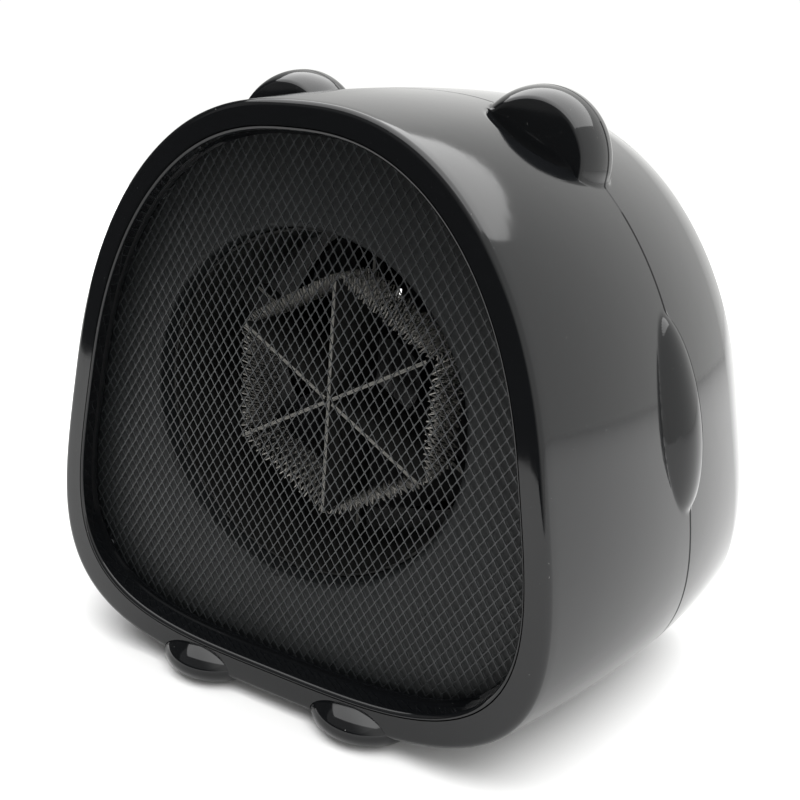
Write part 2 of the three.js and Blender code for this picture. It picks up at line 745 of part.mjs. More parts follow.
for (const [side, label] of [
  [-1, "left"],
  [1, "right"],
]) {
  addPart("front_foot_" + label, frontFoot(side), "gloss_black");
  const { x, depth, radius, height } = REAR_FOOT;
  addPart(
    "rear_foot_" + label,
    standing(side * x, depth, -AXIS_Z, height - AXIS_Z, radius),
    "rubber",
  );
}

addPart("element_board_upright", board(0, Math.PI / 2), "board");
addPart("element_board_rising", board(1, Math.PI / 6), "board");
addPart("element_board_falling", board(2, -Math.PI / 6), "board");
addPart("heating_wire", heatingWire(), "wire");
addPart("mica_liner", tube(0, 0, DUCT_RADIUS - GAP, DUCT_RADIUS - 0.9, 12, 42, 48), "mica");

addPart("fan_impeller", fanImpeller(), "fan");
addPart("motor_shaft", bar(0, 0, SHAFT_RADIUS, FAN_DEPTH + 2.4, 91, 12), "steel");
addPart(
  "motor_rotor",
  tube(0, 0, 11, SHAFT_RADIUS + GAP, MOTOR_DEPTH + 4, MOTOR_DEPTH + MOTOR_LENGTH - 3, 24),
  "steel",
);
addPart("motor_can", motorCan(), "zinc");
addPart("motor_end_cap", motorEndCap(), "nylon");
const bushInner = SHAFT_RADIUS + GAP;
addPart("motor_bush_front", tube(0, 0, 2.9, bushInner, MOTOR_DEPTH - 1, MOTOR_DEPTH + 1.4), "brass");
const capDepth = MOTOR_DEPTH + MOTOR_LENGTH + GAP;
addPart("motor_bush_rear", tube(0, 0, 2.9, bushInner, capDepth, capDepth + 4), "brass");
addPart("motor_bracket", motorBracket(), "zinc");

bracketScrewPlaces().forEach(([x, z], i) => {
  addPart("bracket_screw_" + (i + 1), screw(x, z, BRACKET_DEPTH + 1.2, 1.2, 4.4, 2.6, 1.6), "zinc");
});
MOTOR_SCREWS.forEach(([x, z], i) => {
  const front = BRACKET_DEPTH - GAP;
  const head = bar(x, z, 2.4, front - 1.4, front, 16);
  addPart("motor_screw_" + (i + 1), head.add(bar(x, z, 1.2, front - 0.5, front + 3.4, 10)), "zinc");
});
DUCT_SCREWS.forEach(([x, z], i) => {
  const seat = PLATE_DEPTH + PLATE_THICK;
  addPart("duct_screw_" + (i + 1), screw(x, z, seat, 1.2, 5.4, 2.5, 1.5), "zinc");
});
CASE_SCREWS.forEach(([x, z], i) => {
  addPart("case_screw_" + (i + 1), screw(x, z, PARTING + 5 + GAP / 2, 1.5, 14, 2.7, 2), "zinc");
});

addPart("rocker_switch_body", rockerBody(), "switch_black");
addPart("rocker_switch_rocker", rocker(), "switch_black");
addPart("cord_gland", cordGland(), "rubber");
addPart("cord_clamp", box(GLAND.x, GLAND.z + 7, 20, 4, 91, 97), "nylon");

addPart("tilt_switch_housing", tiltHousing(), "nylon");
addPart("tilt_switch_cap", tiltCap(), "nylon");
addPart("tilt_switch_ball", tiltBall(), "steel");
addPart("circuit_board", circuitBoard(), "circuit");
addPart("bridge_rectifier", box(PCB.x - 12, PCB.z + 6.1, 14, 10, 64, 68), "switch_black");
addPart("terminal_block", box(PCB.x + 8, PCB.z + 5.6, 20, 9, 76, 84), "nylon");

// Internal leads, each through its places [x, depth, z] from piece to piece.
const LEADS = {
  lead_supply: [
    [34, 97.4, -47],
    [31, 92, -48],
    [20, 87, -49],
    [9, 86.5, -47],
    [6, 90.1, -46],
  ],
  lead_switch: [
    [-6, 90.1, -46],
    [-8, 86, -46],
    [-18, 80, -43],
    [-30, 74, -40.6],
    [-34, 70, -44.2],
  ],
  lead_neutral: [
    [34, 97.4, -44.9],
    [35, 91, -47],
    [36, 86, -50],
    [34, 82, -49.9],
    [30, 80, -50],
  ],
  lead_element: [
    [24, 80, -50],
    [40, 74, -44],
    [56, 60, -20],
    [54, 48, 6],
    [38, 42, 38],
    [14, 36, 48],
    [5, 34, 47.4],
  ],
  lead_motor: [
    [14, 74, -59.4],
    [12, 78, -50],
    [6, 84, -30],
    [-6, 92, -14],
    [-9, 88.2, -8],
  ],
};
const LEAD_FINISH = { lead_supply: "lead_brown", lead_switch: "lead_brown", lead_neutral: "lead_blue" };
for (const [name, places] of Object.entries(LEADS)) {
  addPart(name, lead(places), LEAD_FINISH[name] ?? "lead_white");
}

const ductTop = DUCT_RADIUS + DUCT_WALL + GAP;
addPart("thermostat", standing(0, 34, ductTop, ductTop + 5, 7.5, 24), "steel");
addPart("thermal_fuse", bar(-13, ductTop + 1, 1.6, 26, 38, 12), "nylon");

export default heater;
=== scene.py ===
# The looks of a small bear-shaped fan heater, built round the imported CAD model.
import json
import math

import bmesh
import bpy
import numpy as np
from mathutils import Matrix, Vector


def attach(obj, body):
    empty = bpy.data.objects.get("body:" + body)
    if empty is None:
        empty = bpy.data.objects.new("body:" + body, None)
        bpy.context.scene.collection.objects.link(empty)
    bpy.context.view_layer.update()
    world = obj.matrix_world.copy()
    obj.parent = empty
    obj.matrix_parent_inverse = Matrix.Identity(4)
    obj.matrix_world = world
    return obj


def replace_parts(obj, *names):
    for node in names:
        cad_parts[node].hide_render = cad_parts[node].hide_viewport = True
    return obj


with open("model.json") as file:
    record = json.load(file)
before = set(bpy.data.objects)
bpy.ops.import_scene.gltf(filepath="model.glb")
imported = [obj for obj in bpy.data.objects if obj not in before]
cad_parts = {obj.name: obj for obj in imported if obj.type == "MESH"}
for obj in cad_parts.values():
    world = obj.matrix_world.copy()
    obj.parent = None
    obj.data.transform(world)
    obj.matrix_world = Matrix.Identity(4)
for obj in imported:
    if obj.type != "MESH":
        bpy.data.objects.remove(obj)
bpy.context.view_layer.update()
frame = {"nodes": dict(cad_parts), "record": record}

MM = 0.001
TAU = 2 * math.pi

# ---- the CAD model's driving dimensions, in millimetres --------------------------------
GAP = 0.3
AXIS_Z = 69.6
TOTAL_DEPTH = 128.0
FOOT_NOSE = 4.1
FACE_Y = -TOTAL_DEPTH / 2 + FOOT_NOSE
BODY_DEPTH = 118.0
PARTING = 50.4
WALL = 2.4
HALF_WIDTH = 58.8
TAPER = 0.187
HALF_TOP = 64.2
HALF_BOTTOM = 66.2
TOP_POWER = 2.53
BOTTOM_POWER = 3.45
SWELL_DEPTH = 104.0
SWELL_WIDTH = 0.335
SWELL_TOP = 0.1
SWELL_BOTTOM = 0.02
DOME_START = 80.0
DOME_POWER = 3.0
BEZEL = 6.3
LOW_INSET = 1.2
FLANGE_DEPTH = 5.9
LEDGE = 0.6
MESH_DEPTH = FLANGE_DEPTH + GAP
MESH_THICK = 0.8
PLATE_THICK = 1.2
PLATE_DEPTH = MESH_DEPTH + MESH_THICK + GAP
DUCT_RADIUS = 39.4
DUCT_WALL = 1.6
DUCT_END = 60.0
DUCT_FLANGE_RADIUS = 47.0
ELEMENT_DEPTH = 19.1
WIRE_RADIUS = 28.5
WIRE_TURNS = 7
WIRE_PITCH = 2.1
FAN_DEPTH = 45.0
FAN_RADIUS = 35.8
FAN_WIDTH = 12.0
HUB_RADIUS = 10.5
BLADES = 7
EAR = dict(x=31.6, z=55.0, depth=52.4, rx=16.3, rz=16.8, front=18.0, rear=9.0, wall=41.6)
EAR_DISH = dict(x=34.5, z=64.1, rx=16.5, normal=6.2, front=13.5, tilt=0.5)
ARM = dict(z=4.0, half=24.0, crest=3.6, thick=8.0, front=10.5, rear=3.0, tilt=0.27)
FRONT_FOOT = dict(x=21.2, depth=9.4, z=4.4, rx=13.4, ry=13.5, rz=6.3)
FOOT_BACK = 2.9
REAR_FOOT = dict(x=40.0, depth=86.0, radius=7.0, height=2.0)
CASE_SCREWS = [(-48.5, 41.0), (48.5, 41.0), (-68.0, -46.0), (68.0, -46.0)]
SWITCH = dict(x=0.0, z=-46.0, width=20.4, height=12.8, seat=110.6, wide=23.0, tall=15.4)
GLAND = dict(x=34.0, z=-47.0, radius=4.6, bore=2.7, flange=7.0, seat=109.4)
ROCKER_PIVOT = SWITCH["seat"] - 1.4
ROCKER_REACH = 8.2
SLOT_PITCH = 7.0
SLOT_HEIGHT = 3.2
SLOT_RADIUS = 35.0

# ---- fine detail of the visible pieces, in millimetres ----------------------------------
EDGE_ROUNDING = 1.1
LIP_ROUNDING = 1.0
RECESS_DRAFT = 0.5
EAR_EDGE = 0.6
RING_STEP = 0.3
SEAM_SHRINK = 0.9965
SEAT_SLACK = 0.12
LINER_THICK = 0.6


# ---- camera ----------------------------------------------------------------------------
def make_camera():
    place = Vector((0.1075, -0.2144, 0.1336))
    target = Vector((0.0247, -0.0535, 0.0781))
    roll = math.radians(4.47)
    forward = (target - place).normalized()
    right = forward.cross(Vector((0, 0, 1))).normalized()
    up = right.cross(forward)
    across = right * math.cos(roll) + up * math.sin(roll)
    upright = up * math.cos(roll) - right * math.sin(roll)
    turn = Matrix((across, upright, -forward)).transposed()
    camera = bpy.data.objects.new("camera", bpy.data.cameras.new("camera"))
    camera.matrix_world = Matrix.Translation(place) @ turn.to_4x4()
    camera.data.lens = 42.5
    camera.data.sensor_width = 36
    camera.data.clip_start = 0.01
    bpy.context.scene.collection.objects.link(camera)
    bpy.context.scene.camera = camera


make_camera()


# ---- materials -------------------------------------------------------------------------
def material(name, color, roughness, metallic=0.0, coat=0.0, ior=1.5):
    made = bpy.data.materials.new(name)
    made.use_nodes = True
    shader = made.node_tree.nodes["Principled BSDF"]
    shader.inputs["Base Color"].default_value = (*color, 1)
    shader.inputs["Roughness"].default_value = roughness
    shader.inputs["Metallic"].default_value = metallic
    shader.inputs["Coat Weight"].default_value = coat
    shader.inputs["Coat Roughness"].default_value = 0.05
    shader.inputs["IOR"].default_value = ior
    return made


def noise(made, scale, detail=3.0, rough=0.5, stretch=(1, 1, 1)):
    nodes, links = made.node_tree.nodes, made.node_tree.links
    coords = nodes.new("ShaderNodeTexCoord")
    mapping = nodes.new("ShaderNodeMapping")
    mapping.inputs["Scale"].default_value = stretch
    texture = nodes.new("ShaderNodeTexNoise")
    texture.inputs["Scale"].default_value = scale
    texture.inputs["Detail"].default_value = detail
    texture.inputs["Roughness"].default_value = rough
    links.new(coords.outputs["Object"], mapping.inputs["Vector"])
    links.new(mapping.outputs["Vector"], texture.inputs["Vector"])
    return texture.outputs["Fac"]


def ramp(made, source, stops):
    node = made.node_tree.nodes.new("ShaderNodeValToRGB")
    points = node.color_ramp.elements
    while len(points) < len(stops):
        points.new(0.5)
    for point, (place, color) in zip(points, stops):
        point.position = place
        point.color = (*color, 1) if len(color) == 3 else color
    made.node_tree.links.new(source, node.inputs["Fac"])
    return node.outputs["Color"]


def spread(made, source, low, high):
    node = made.node_tree.nodes.new("ShaderNodeMapRange")
    node.inputs["To Min"].default_value = low
    node.inputs["To Max"].default_value = high
    made.node_tree.links.new(source, node.inputs["Value"])
    return node.outputs["Result"]


def drive(made, source, socket):
    shader = made.node_tree.nodes["Principled BSDF"]
    made.node_tree.links.new(source, shader.inputs[socket])


def bump(made, source, strength, distance):
    node = made.node_tree.nodes.new("ShaderNodeBump")
    node.inputs["Strength"].default_value = strength
    node.inputs["Distance"].default_value = distance
    made.node_tree.links.new(source, node.inputs["Height"])
    drive(made, node.outputs["Normal"], "Normal")


def gloss_black():
    base = (0.0032, 0.0036, 0.0042)
    made = material("gloss_black", base, 0.07, ior=1.42)
    haze = noise(made, 45, 4)
    drive(made, spread(made, haze, 0.03, 0.11), "Roughness")
    dust = noise(made, 2600, 1, 0.4)
    specks = ramp(made, dust, [(0.0, base), (0.80, base), (0.86, (0.25, 0.25, 0.24))])
    drive(made, specks, "Base Color")
    bump(made, noise(made, 130, 2), 0.05, 0.0004)
    return made


def satin(name, color, roughness, metallic=0.0, grain=900, depth=0.00005, change=0.25):
    made = material(name, color, roughness, metallic)
    fine = noise(made, grain, 3)
    dark = tuple(c * (1 - change) for c in color)
    light = tuple(min(c * (1 + change), 1) for c in color)
    drive(made, ramp(made, noise(made, grain / 14, 4), [(0.3, dark), (0.7, light)]), "Base Color")
    drive(made, spread(made, fine, roughness * 0.8, min(roughness * 1.2, 1)), "Roughness")
    bump(made, fine, 0.3, depth)
    return made


def mica_board():
    """Painted light: the cut edges that look out of the duct are painted pale as a highlight, and
    all other faces dark as painted shade.
    """
    made = material("board", (0.03, 0.03, 0.028), 0.75)
    nodes, links = made.node_tree.nodes, made.node_tree.links
    normal = nodes.new("ShaderNodeNewGeometry")
    edge = nodes.new("ShaderNodeVectorMath")
    edge.operation = "DOT_PRODUCT"
    edge.inputs[1].default_value = (0, -1, 0)
    links.new(normal.outputs["True Normal"], edge.inputs[0])
    # painted shade on faces turned away from the front, painted highlight on the edges that look
    # out of the duct
    painted_shade_face, pale = (0.012, 0.012, 0.011), (0.20, 0.195, 0.18)
    drive(made, ramp(made, edge.outputs["Value"], [(0.4, painted_shade_face), (0.6, pale)]), "Base Color")
    bump(made, noise(made, 1500), 0.3, 0.00005)
    return made


MATERIALS = {
    "gloss_black": gloss_black(),
    "mesh": satin("mesh", (0.020, 0.022, 0.023), 0.34, 0.2, 2500),
    "duct": satin("duct", (0.0018, 0.0029, 0.0034), 0.6, 0.0, 700),
    "board": mica_board(),
    "mica": satin("mica", (0.006, 0.006, 0.0055), 0.5, 0.0, 900),
    "wire": satin("wire", (0.34, 0.33, 0.31), 0.38, 0.7, 3000),
    "fan": satin("fan", (0.012, 0.012, 0.013), 0.5, 0.0, 900),
    "steel": satin("steel", (0.50, 0.51, 0.52), 0.35, 1.0, 2500),
    "zinc": satin("zinc", (0.55, 0.56, 0.57), 0.4, 1.0, 1200),
    "brass": satin("brass", (0.62, 0.44, 0.2), 0.35, 1.0, 2000),
    "rubber": satin("rubber", (0.018, 0.018, 0.018), 0.8, 0.0, 1800),
    "switch_black": satin("switch_black", (0.014, 0.014, 0.015), 0.42, 0.0, 2400),
    "nylon": satin("nylon", (0.62, 0.6, 0.53), 0.5, 0.0, 900, change=0.08),
    "circuit": satin("circuit", (0.03, 0.12, 0.05), 0.4, 0.0, 1500),
    "lead_brown": satin("lead_brown", (0.1, 0.035, 0.015), 0.5),
    "lead_blue": satin("lead_blue", (0.02, 0.06, 0.18), 0.5),
    "lead_white": satin("lead_white", (0.6, 0.6, 0.57), 0.5, change=0.08),
}


# ---- mesh helpers ----------------------------------------------------------------------
def place(points):
    """Points (x, depth, z from the fan's axis) in millimetres, as metres in the row frame."""
    p = np.asarray(points, float)
    return np.column_stack([p[:, 0], p[:, 1] + FACE_Y, p[:, 2] + AXIS_Z]) * MM


def raw_mesh(name, points, faces):
    mesh = bpy.data.meshes.new(name)
    mesh.from_pydata(place(points).tolist(), [], [tuple(map(int, f)) for f in faces])
    return mesh


def make(name, points, faces, slot, body="heater", angle=30):
    """A visible piece that rides on a body and wears a material slot."""
    mesh = raw_mesh(name, points, faces)
    mesh.validate()
    mesh.shade_smooth()
    mesh.set_sharp_from_angle(angle=math.radians(angle))
    mesh.materials.append(MATERIALS[slot])
    made = bpy.data.objects.new(name, mesh)
    bpy.context.scene.collection.objects.link(made)
    fix_normals(mesh)
    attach(made, body)
    return made


def fix_normals(mesh):
    work = bmesh.new()
    work.from_mesh(mesh)
    bmesh.ops.recalc_face_normals(work, faces=work.faces)
    work.to_mesh(mesh)
    work.free()


def loft(rings, closed=True):
    """Faces between rings of equal counts; a ring of one point is a pole."""
    points, faces, firsts = [], [], []
    for one in rings:
        firsts.append(len(points))
        points.extend(one)
    pairs = list(zip(range(len(rings)), range(1, len(rings))))
    if closed:
        pairs.append((len(rings) - 1, 0))
    for a, b in pairs:
        na, nb = len(rings[a]), len(rings[b])
        n = max(na, nb)
        fa, fb = firsts[a], firsts[b]
        for i in range(n):
            j = (i + 1) % n
            if na == 1:
                faces.append((fa, fb + i, fb + j))
            elif nb == 1:
                faces.append((fa + i, fb, fa + j))
            else:
                faces.append((fa + i, fb + i, fb + j, fa + j))
    return points, faces


def capped(rings):
    """An open loft whose first and last rings are filled."""
    points, faces = loft(rings, closed=False)
    count = len(rings[0])
    faces.append(tuple(range(count)))
    faces.append(tuple(range(len(points) - 1, len(points) - 1 - count, -1)))
    return points, faces


def join(parts):
    """Several (points, faces) as one."""
    points, faces = [], []
    for some_points, some_faces in parts:
        shift = len(points)
        points.extend(some_points)
        faces.extend(tuple(v + shift for v in face) for face in some_faces)
    return points, faces


def spun(profile, x=0.0, z=0.0, count=48, upright=False):
    """A closed solid of revolution; profile is (radius, along) and along is depth, or height."""
    rings = []
    for radius, along in profile:
        if radius <= 0:
            rings.append([(x, along, z)] if not upright else [(x, z, along)])
            continue
        ring = []
        for i in range(count):
            a = TAU * i / count
            c, s = radius * math.cos(a), radius * math.sin(a)
            ring.append((x + c, z + s, along) if upright else (x + c, along, z + s))
        rings.append(ring)
    return loft(rings, closed=profile[0][0] > 0)


def prism(outline, low, high, bevel=0.0):
    """An extruded outline in the x-z plane from one depth to another, its edges chamfered."""
    n = len(outline)
    pts = np.array(outline, float)
    ahead = np.roll(pts, -1, 0) - pts
    behind = pts - np.roll(pts, 1, 0)
    mean = ahead / np.linalg.norm(ahead, axis=1)[:, None]
    mean = mean + behind / np.linalg.norm(behind, axis=1)[:, None]
    normal = np.column_stack([mean[:, 1], -mean[:, 0]])
    normal /= np.maximum(np.linalg.norm(normal, axis=1)[:, None], 1e-9)
    area = 0.5 * np.sum(pts[:, 0] * np.roll(pts[:, 1], -1) - np.roll(pts[:, 0], -1) * pts[:, 1])
    inward = pts - normal * bevel * (1 if area > 0 else -1)
    levels = [(low, pts), (high, pts)]
    if bevel:
        levels = [(low, inward), (low + bevel, pts), (high - bevel, pts), (high, inward)]
    rings = [[(x, d, z) for x, z in ring] for d, ring in levels]
    points, faces = loft(rings, closed=False)
    faces.append(tuple(range(n - 1, -1, -1)))
    faces.append(tuple(range(len(points) - n, len(points))))
    return points, faces


def round_box(width, height, radius, x=0.0, z=0.0, steps=6):
    """The outline of a box with rounded corners."""
    outline = []
    for cx, cz, start in ((1, 1, 0), (-1, 1, 90), (-1, -1, 180), (1, -1, 270)):
        for k in range(steps + 1):
            a = math.radians(start + 90 * k / steps)
            outline.append(
                (
                    x + cx * (width / 2 - radius) + radius * math.cos(a),
                    z + cz * (height / 2 - radius) + radius * math.sin(a),
                )
            )
    return outline


def tool(points, faces):
    """A plain object for carve() to use up."""
    mesh = raw_mesh("cutter", points, faces)
    fix_normals(mesh)
    made = bpy.data.objects.new("cutter", mesh)
    bpy.context.scene.collection.objects.link(made)
    return made


def carve(target, cutters, operation="DIFFERENCE", angle=30):
    """Cuts with (points, faces) or with objects made by tool(), which are used up."""
    for given in cutters:
        cutter = given if isinstance(given, bpy.types.Object) else tool(*given)
        step = target.modifiers.new("cut", "BOOLEAN")
        step.object = cutter
        step.operation = operation
        step.solver = "EXACT"
        depsgraph = bpy.context.evaluated_depsgraph_get()
        made = bpy.data.meshes.new_from_object(target.evaluated_get(depsgraph))
        target.modifiers.clear()
        old = target.data
        target.data = made
        bpy.data.meshes.remove(old)
        bpy.data.objects.remove(cutter)
    target.data.shade_smooth()
    target.data.set_sharp_from_angle(angle=math.radians(angle))


# ---- the body's surface ----------------------------------------------------------------
def section_at(depth):
    """Half width at the axis, and reach above and below it, of the body at a depth."""
    t = min(depth / SWELL_DEPTH, 1)
    swell = 2 * t - t * t
    past = max(depth - DOME_START, 0) / (BODY_DEPTH - DOME_START)
    dome = max(1 - past**DOME_POWER, 0) ** (1 / DOME_POWER)
    width = HALF_WIDTH * (1 + SWELL_WIDTH * swell) * dome
    top = HALF_TOP * (1 + SWELL_TOP * swell) * dome
    bottom = HALF_BOTTOM * (1 + SWELL_BOTTOM * swell) * dome
    return width, top, bottom


def outline_at(depth, inset, angles):
    """The body's outline at a depth, an inset inside its skin, as (x, z) rows."""
    width, top, bottom = section_at(depth)
    c, s = np.cos(angles), np.sin(angles)
    power = np.where(s > 0, TOP_POWER, BOTTOM_POWER)
    reach = np.where(s > 0, top, bottom)
    lower = np.where(s > 0, inset, inset * LOW_INSET)
    z = np.sign(s) * np.abs(s) ** (2 / power) * (reach - lower)
    half = width - TAPER * (width / HALF_WIDTH) * z - inset
    return np.column_stack([np.sign(c) * np.abs(c) ** (2 / power) * half, z])


def side_at(depth, z):
    """How far out the body's side is, at a depth and a height."""
    width, top, bottom = section_at(depth)
    power, reach = (TOP_POWER, top) if z > 0 else (BOTTOM_POWER, bottom)
    share = min(abs(z) / reach, 1)
    return (width - TAPER * (width / HALF_WIDTH) * z) * (1 - share**power) ** (1 / power)


def spaced_angles(spacing):
    """Angles whose points on the parting outline lie a spacing apart that depends on (x, z)."""
    fine = np.linspace(-math.pi / 2, 3 * math.pi / 2, 400001)
    points = outline_at(PARTING, 0, fine)
    step = np.linalg.norm(np.diff(points, axis=0), axis=1)
    density = 1 / spacing(points[:-1, 0], points[:-1, 1])
    total = np.concatenate([[0], np.cumsum(step * density)])
    count = int(total[-1] / 4) * 4
    wanted = (np.arange(count) + 0.5) * total[-1] / count
    return np.interp(wanted, total, fine)


def casing_spacing(x, z):
    """Fine spacing round the ears and arms, coarse elsewhere."""
    near_ear = np.clip((np.abs(np.abs(x) - 33) - 20) / 6, 0, 1) + np.clip((36 - z) / 6, 0, 1)
    near_arm = np.clip((np.abs(z - 4) - 31) / 6, 0, 1)
    fine = np.minimum(np.clip(near_ear, 0, 1) * 1.1 + 0.4, near_arm * 0.9 + 0.6)
    return np.minimum(fine, 1.5)


ANGLES = spaced_angles(casing_spacing)


def soft_max(a, b, radius):
    """The larger of two surfaces, blended within a radius where they meet."""
    h = np.clip(0.5 + 0.5 * (a - b) / radius, 0, 1)
    return b + (a - b) * h + radius * h * (1 - h)


def soft_min(a, b, radius):
    return -soft_max(-a, -b, radius)


def ray_roots(direction, x, z, across, up, tilt):
    """Near and far distances at which rays from the fan's axis meet a tilted ellipse."""
    turn = np.array([[math.cos(tilt), math.sin(tilt)], [-math.sin(tilt), math.cos(tilt)]])
    scale = np.array([1 / max(across, 1e-6), 1 / max(up, 1e-6)])
    d = (direction @ turn.T) * scale
    o = -(turn @ np.array([x, z])) * scale
    a = np.sum(d * d, 1)
    b = d @ o
    c = o @ o - 1
    inside = b * b - a * c
    root = np.sqrt(np.maximum(inside, 0))
    hit = (inside > 0) & (b < 0)
    near = np.where(hit, (-b - root) / a, 1e3)
    far = np.where(hit, (-b + root) / a, -1e3)
    return near, far


def egg_share(depth, middle, front, rear):
    """How large an egg's section is at a depth, as a share of its widest section."""
    offset = (depth - middle) / (rear if depth > middle else front)
    return math.sqrt(max(1 - offset * offset, 0))


def surface(depth, ears=True, trim=0.0):
    """One ring of the casing's outer surface, with ears, arms and the ears' dishes."""
    flat = outline_at(depth, 0, ANGLES)
    radius = np.linalg.norm(flat, axis=1)
    direction = flat / radius[:, None]
    for side in (-1, 1):
        share = egg_share(depth, EAR["wall"], EAR_DISH["front"], EAR_DISH["front"])
        if share > 0 and depth <= EAR["wall"]:
            across, up = EAR_DISH["rx"] * share, EAR_DISH["normal"] * share
            x, tilt = side * EAR_DISH["x"], -side * EAR_DISH["tilt"]
            near = ray_roots(direction, x, EAR_DISH["z"], across, up, tilt)[0]
            radius = soft_min(radius, near, 0.35)
        share = egg_share(depth, EAR["depth"], EAR["front"], EAR["rear"])
        if ears and share > 0 and depth >= EAR["wall"]:
            across, up = EAR["rx"] * share - trim, EAR["rz"] * share - trim
            far = ray_roots(direction, side * EAR["x"], EAR["z"], across, up, 0)[1]
            radius = soft_max(radius, far, 0.9)
        share = egg_share(depth, PARTING, ARM["front"], ARM["rear"])
        if share > 0:
            x = side * (side_at(PARTING, ARM["z"]) + ARM["crest"] - ARM["thick"])
            across, up = ARM["thick"] * share, ARM["half"] * share
            far = ray_roots(direction, x, ARM["z"], across, up, side * ARM["tilt"])[1]
            radius = soft_max(radius, far, 0.5)
    return direction * radius[:, None]


def ring(flat, depth):
    return [(x, depth, z) for x, z in flat]


def spaced(start, end, step):
    count = max(int(round(abs(end - start) / step)), 1)
    return list(np.linspace(start, end, count + 1))


def outline_ring(depth, inset, angles=ANGLES):
    return ring(outline_at(depth, inset, angles), depth)


def inner_ring(depth, outer_limit=None):
    """A ring of the casing's inner face, kept inside any dish in the outer face."""
    flat = outline_at(depth, WALL, ANGLES)
    if outer_limit is None:
        return ring(flat, depth)
    radius = np.linalg.norm(flat, axis=1)
    kept = np.minimum(radius, outer_limit - 1.8)
    return ring(flat * (kept / radius)[:, None], depth)


def front_casing():
    end = PARTING - GAP / 2
    wall = EAR["wall"]
    rings = []
    # From the parting line forward over the outside; the last step is a small rounded edge.
    rings.append(ring(surface(end) * SEAM_SHRINK, end))
    for depth in spaced(end - 0.25, wall + 0.8, RING_STEP):
        rings.append(ring(surface(depth), depth))
    for offset in (0.5, 0.27, 0.12, 0.03, 0.0):
        trim = EAR_EDGE - math.sqrt(EAR_EDGE**2 - (EAR_EDGE - offset) ** 2)
        rings.append(ring(surface(wall + offset, trim=trim), wall + offset))
    rings.append(ring(surface(wall, ears=False), wall))
    dish = spaced(wall - RING_STEP, 38, RING_STEP) + spaced(37.4, 27, 0.55)
    for depth in dish + spaced(25.4, 3, 1.6):
        rings.append(ring(surface(depth), depth))
    for k in range(8):
        a = math.radians(90 * k / 7)
        inset = EDGE_ROUNDING * (1 - math.cos(a))
        rings.append(outline_ring(EDGE_ROUNDING * (1 - math.sin(a)), inset))
    for inset in (2.6, 3.8, 5.0):
        rings.append(outline_ring(0, inset))
    for k in range(8):
        a = math.radians(90 * k / 7)
        inset = BEZEL - RECESS_DRAFT - LIP_ROUNDING + LIP_ROUNDING * math.sin(a)
        rings.append(outline_ring(LIP_ROUNDING * (1 - math.cos(a)), inset))
    step = FLANGE_DEPTH - 0.8
    for share in (0.3, 0.65, 1.0):
        depth = LIP_ROUNDING + (step - LIP_ROUNDING) * share
        rings.append(outline_ring(depth, BEZEL - RECESS_DRAFT * (1 - share)))
    rings.append(outline_ring(step, BEZEL + LEDGE))
    rings.append(outline_ring(FLANGE_DEPTH, BEZEL + LEDGE))
    rings.append(outline_ring(FLANGE_DEPTH, BEZEL - 2))
    rings.append(outline_ring(2.6, BEZEL - 2))
    rings.append(outline_ring(2.6, WALL))
    sections = [surface(depth, ears=False) for depth in spaced(28, end, 1.2)]
    limit = np.min([np.linalg.norm(flat, axis=1) for flat in sections], axis=0)
    rings.append(inner_ring(12))
    rings.append(inner_ring(24))
    for depth in (27, 38, 46, end):
        rings.append(inner_ring(depth, limit))
    points, faces = loft(rings)
    return make("front_casing_skin", points, faces, "gloss_black")


def rear_casing():
    start = PARTING + GAP / 2
    rings = [ring(surface(start) * SEAM_SHRINK, start)]
    depths = spaced(start + 0.25, 54, 0.25) + spaced(54.4, 62.6, 0.45) + spaced(64, 82, 1.6)
    for depth in depths:
        rings.append(ring(surface(depth), depth))
    turn = [math.sin(math.radians(a)) for a in np.linspace(18, 88.5, 34)]
    for share in turn:
        depth = DOME_START + (BODY_DEPTH - DOME_START) * share
        if depth > 83:
            rings.append(outline_ring(depth, 0))
    for share in (0.75, 0.5, 0.25):
        flat = outline_at(rings[-1][0][1], 0, ANGLES) * share
        rings.append(ring(flat, BODY_DEPTH - 0.012 * share))
    rings.append([(0, BODY_DEPTH, 0)])
    outer = len(rings)
    rings.append([(0, BODY_DEPTH - WALL, 0)])
    shrink = (BODY_DEPTH - WALL - start) / (BODY_DEPTH - start)
    for depth in (117.2, 115.5, 112, 107, 100, 92, 80, 66, 56, start):
        flat = outline_at(depth, WALL, ANGLES)
        rings.append(ring(flat, start + (depth - start) * shrink))
    first = loft(rings[:outer], closed=False)
    second = loft(rings[outer:], closed=False)
    points, faces = join([first, second])
    n = len(ANGLES)
    last_ring = len(points) - n
    for i in range(n):
        j = (i + 1) % n
        faces.append((last_ring + i, last_ring + j, j, i))
    return make("rear_casing_skin", points, faces, "gloss_black")


def egg(x, z, depth, rx, rz, front, count=96):
    """An ellipsoid with its poles ahead and behind."""
    rings = [[(x, depth - front, z)]]
    circle = [(math.cos(TAU * i / count), math.sin(TAU * i / count)) for i in range(count)]
    for k in range(1, count // 2):
        a = math.pi * k / (count // 2)
        share = math.sin(a)
        level = depth - front * math.cos(a)
        rings.append([(x + rx * share * c, level, z + rz * share * s) for c, s in circle])
    rings.append([(x, depth + front, z)])
    return loft(rings, closed=False)


def foot_egg(side, grow=0.0):
    foot = FRONT_FOOT
    sizes = [foot[key] + grow for key in ("rx", "rz", "ry")]
    return egg(side * foot["x"], foot["z"] - AXIS_Z, foot["depth"], *sizes)


front = front_casing()
rear = rear_casing()
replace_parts(front, "front_casing")
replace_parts(rear, "rear_casing")


